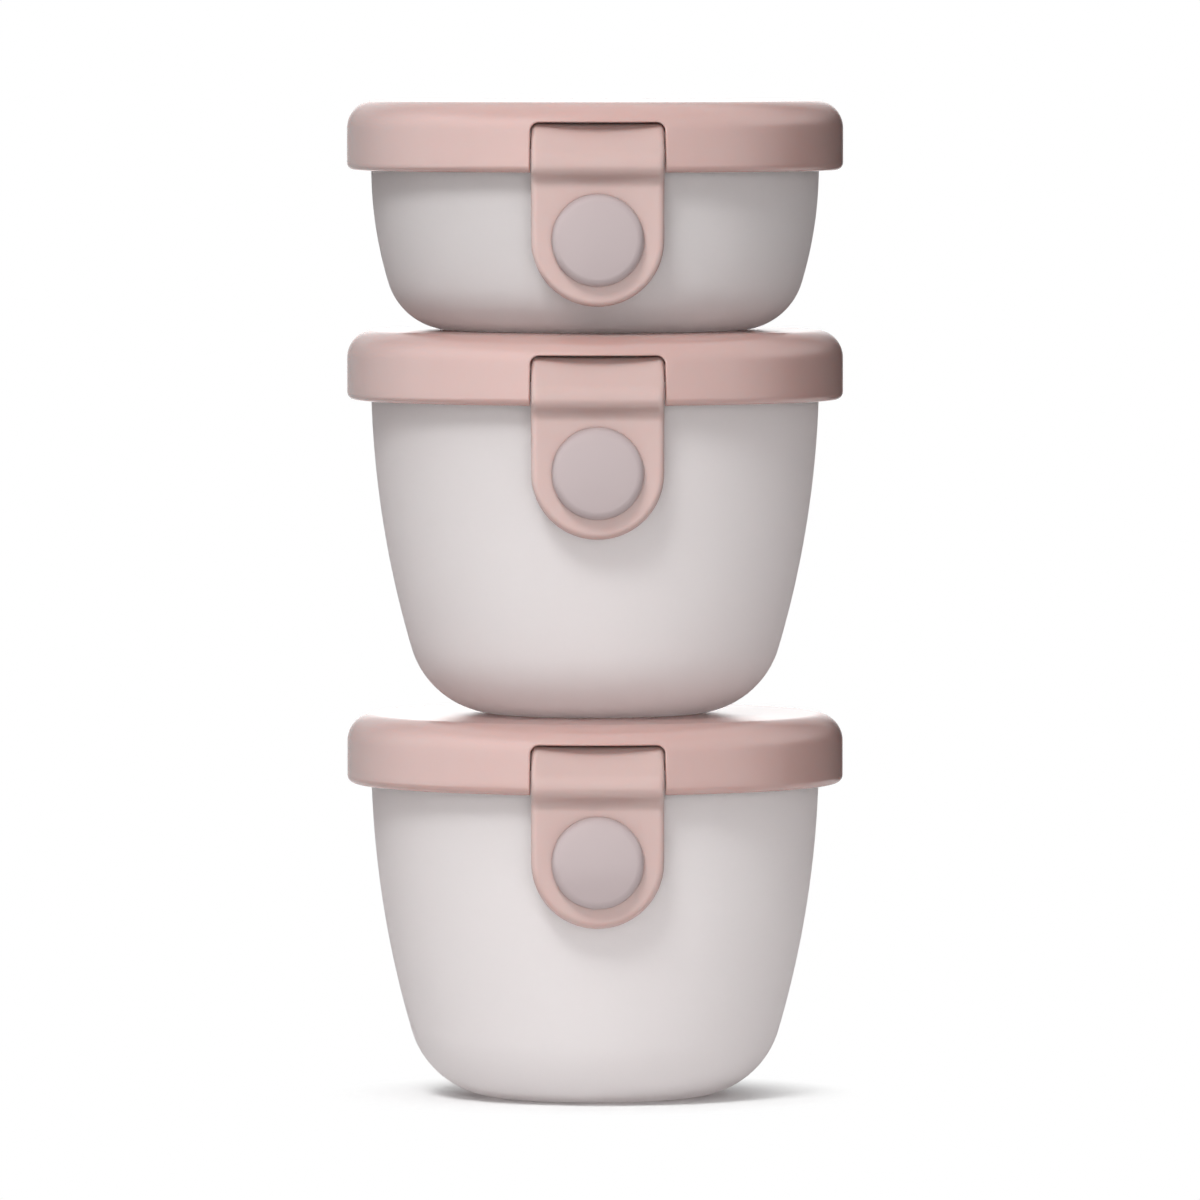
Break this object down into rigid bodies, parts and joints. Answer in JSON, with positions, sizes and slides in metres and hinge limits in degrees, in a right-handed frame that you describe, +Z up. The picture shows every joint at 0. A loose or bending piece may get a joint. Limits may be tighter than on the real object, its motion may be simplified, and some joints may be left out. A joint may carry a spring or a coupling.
{
  "type": "formula dispenser",
  "caption": "Stack of round frosted portion cups for milk powder, each with a lift-off plug lid, a soft seal and a swing latch whose eye drops over a domed stud.",
  "frame": {"origin": "middle of the lowest cup's foot, on the surface that the stack stands on", "axes": "+Z up along the stack, -Y towards the latches, +X to the right seen from the latches"},
  "size_m": [0.09, 0.0914, 0.1808],
  "materials": {
    "frosted_cup": "frosted translucent polypropylene",
    "clear_stud": "translucent, satin",
    "gloss_lid": "glossy dusty pink polypropylene",
    "white_seal": "matt silicone",
    "satin_latch": "satin dusty pink polypropylene"
  },
  "bodies": {
    "lower_cup": {"lower_cup": "frosted_cup", "lower_stud": "clear_stud"},
    "lower_lid": {"lower_lid": "gloss_lid", "lower_seal": "white_seal"},
    "lower_latch": {"lower_latch": "satin_latch"},
    "middle_cup": {"middle_cup": "frosted_cup", "middle_stud": "clear_stud"},
    "middle_lid": {"middle_lid": "gloss_lid", "middle_seal": "white_seal"},
    "middle_latch": {"middle_latch": "satin_latch"},
    "upper_cup": {"upper_cup": "frosted_cup", "upper_stud": "clear_stud"},
    "upper_lid": {"upper_lid": "gloss_lid", "upper_seal": "white_seal"},
    "upper_latch": {"upper_latch": "satin_latch"}
  },
  "joints": [
    {"name": "lower_lid_lift", "type": "slide", "parent": "lower_cup", "child": "lower_lid", "axis": [0, 0, 1], "range_m": [0, 0.012]},
    {"name": "lower_latch_swing", "type": "hinge", "parent": "lower_lid", "child": "lower_latch", "pos_m": [0, -0.041, 0.0636], "axis": [-1, 0, 0], "range_deg": [0, 60]},
    {"name": "middle_unit_lift", "type": "slide", "parent": "lower_lid", "child": "middle_cup", "axis": [0, 0, 1], "range_m": [0, 0.03]},
    {"name": "middle_lid_lift", "type": "slide", "parent": "middle_cup", "child": "middle_lid", "axis": [0, 0, 1], "range_m": [0, 0.012]},
    {"name": "middle_latch_swing", "type": "hinge", "parent": "middle_lid", "child": "middle_latch", "pos_m": [0, -0.041, 0.1332], "axis": [-1, 0, 0], "range_deg": [0, 60]},
    {"name": "upper_unit_lift", "type": "slide", "parent": "middle_lid", "child": "upper_cup", "axis": [0, 0, 1], "range_m": [0, 0.03]},
    {"name": "upper_lid_lift", "type": "slide", "parent": "upper_cup", "child": "upper_lid", "axis": [0, 0, 1], "range_m": [0, 0.012]},
    {"name": "upper_latch_swing", "type": "hinge", "parent": "upper_lid", "child": "upper_latch", "pos_m": [0, -0.041, 0.1748], "axis": [-1, 0, 0], "range_deg": [0, 60]}
  ],
  "couplings": [
    {"joint": "lower_latch_swing", "follows": "lower_lid_lift", "rad_per_m": 87.2},
    {"joint": "middle_latch_swing", "follows": "middle_lid_lift", "rad_per_m": 87.2},
    {"joint": "upper_latch_swing", "follows": "upper_lid_lift", "rad_per_m": 87.2}
  ]
}
